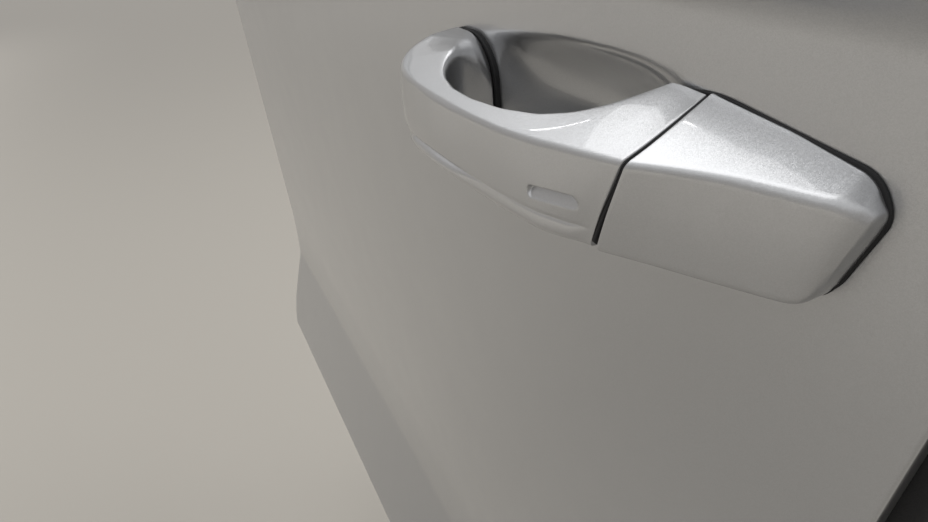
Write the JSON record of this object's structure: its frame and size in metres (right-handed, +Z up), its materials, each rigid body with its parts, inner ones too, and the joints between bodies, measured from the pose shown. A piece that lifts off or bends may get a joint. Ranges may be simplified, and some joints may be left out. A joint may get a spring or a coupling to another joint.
{
  "type": "car front door with pull handle",
  "caption": "Left front door of a compact SUV with a bow pull handle over a finger cup, framed window, folding mirror, cabin trim and hinges",
  "frame": {"origin": "middle of the upper hinge's pillar leaf, on its bolting face", "axes": "+X rearward along the car, +Y inboard, out of the bolting face, +Z up"},
  "size_m": [1.1838, 0.411, 1.187],
  "materials": {
    "hinge_steel": "zinc-plated",
    "hinge_paint": "silver paint, thin coat",
    "body_paint": "silver metallic with clear coat",
    "inner_paint": "silver base coat, satin",
    "frame_paint": "silver metallic with clear coat",
    "handle_paint": "silver metallic with clear coat",
    "mirror_paint": "silver metallic with clear coat",
    "tinted_glass": "green tint",
    "seal_rubber": "matte",
    "black_trim": "fine grain",
    "gloss_black": "gloss",
    "pin_steel": "turned",
    "latch_steel": "plated",
    "carrier_plastic": "moulded",
    "mirror_silver": "mirror",
    "cabin_plastic": "leather grain",
    "cabin_soft": "soft touch grain",
    "armrest_leather": "soft, fine grain",
    "switch_plastic": "satin",
    "satin_plastic": "satin silver",
    "grille_plastic": "perforated",
    "lever_chrome": "satin chrome"
  },
  "bodies": {
    "pillar": {"upper_hinge_pillar_leaf": "hinge_steel", "lower_hinge_pillar_leaf": "hinge_steel", "check_bracket": "hinge_steel"},
    "check_link": {"check_arm": "hinge_steel"},
    "grip": {"handle_grip": "handle_paint"},
    "mirror": {"mirror_housing": "mirror_paint", "mirror_glass": "mirror_silver"},
    "lever": {"release_lever": "lever_chrome"},
    "door": {"outer_skin": "body_paint", "inner_panel": "inner_paint", "window_frame": "frame_paint", "window_glass": "tinted_glass", "glass_run": "seal_rubber", "door_seal": "seal_rubber", "outer_belt_moulding": "black_trim", "inner_belt_seal": "seal_rubber", "pillar_cover": "gloss_black", "mirror_sail": "black_trim", "mirror_foot": "black_trim", "upper_hinge_door_leaf": "hinge_paint", "lower_hinge_door_leaf": "hinge_paint", "hinge_pins": "pin_steel", "check_box": "hinge_steel", "wiring_plug": "black_trim", "latch": "latch_steel", "latch_claw": "latch_steel", "handle_cap": "handle_paint", "handle_front_gasket": "seal_rubber", "handle_rear_gasket": "seal_rubber", "handle_carrier": "carrier_plastic", "trim_panel": "cabin_plastic", "trim_upper": "cabin_soft", "armrest": "armrest_leather", "switch_panel": "gloss_black", "window_switches": "switch_plastic", "grab_handle": "satin_plastic", "map_pocket": "cabin_plastic", "speaker_grille": "grille_plastic", "release_bezel": "satin_plastic"}
  },
  "joints": [
    {"name": "door_swing", "type": "hinge", "parent": "pillar", "child": "door", "pos_m": [0.045, -0.014, 0], "axis": [0, 0, -1], "range_deg": [0, 65]},
    {"name": "check_arm_turn", "type": "hinge", "parent": "pillar", "child": "check_link", "pos_m": [0.028, 0.012, -0.19], "axis": [0, 0, -1], "range_deg": [0, 37.3]},
    {"name": "grip_pull", "type": "hinge", "parent": "door", "child": "grip", "pos_m": [0.847, -0.0442, 0.109], "axis": [0, 0, -1], "range_deg": [0, 10], "stiffness_Nm_per_rad": 4, "springref_deg": -5.73},
    {"name": "mirror_fold", "type": "hinge", "parent": "door", "child": "mirror", "pos_m": [0.168, -0.078, 0.276], "axis": [0, 0, 1], "range_deg": [0, 60]},
    {"name": "release_pull", "type": "hinge", "parent": "door", "child": "lever", "pos_m": [0.352, 0.059, 0.092], "axis": [0, 0, 1], "range_deg": [0, 35], "stiffness_Nm_per_rad": 0.6, "springref_deg": -5.73}
  ],
  "couplings": [
    {"joint": "check_arm_turn", "follows": "door_swing", "ratio": 0.5726}
  ]
}
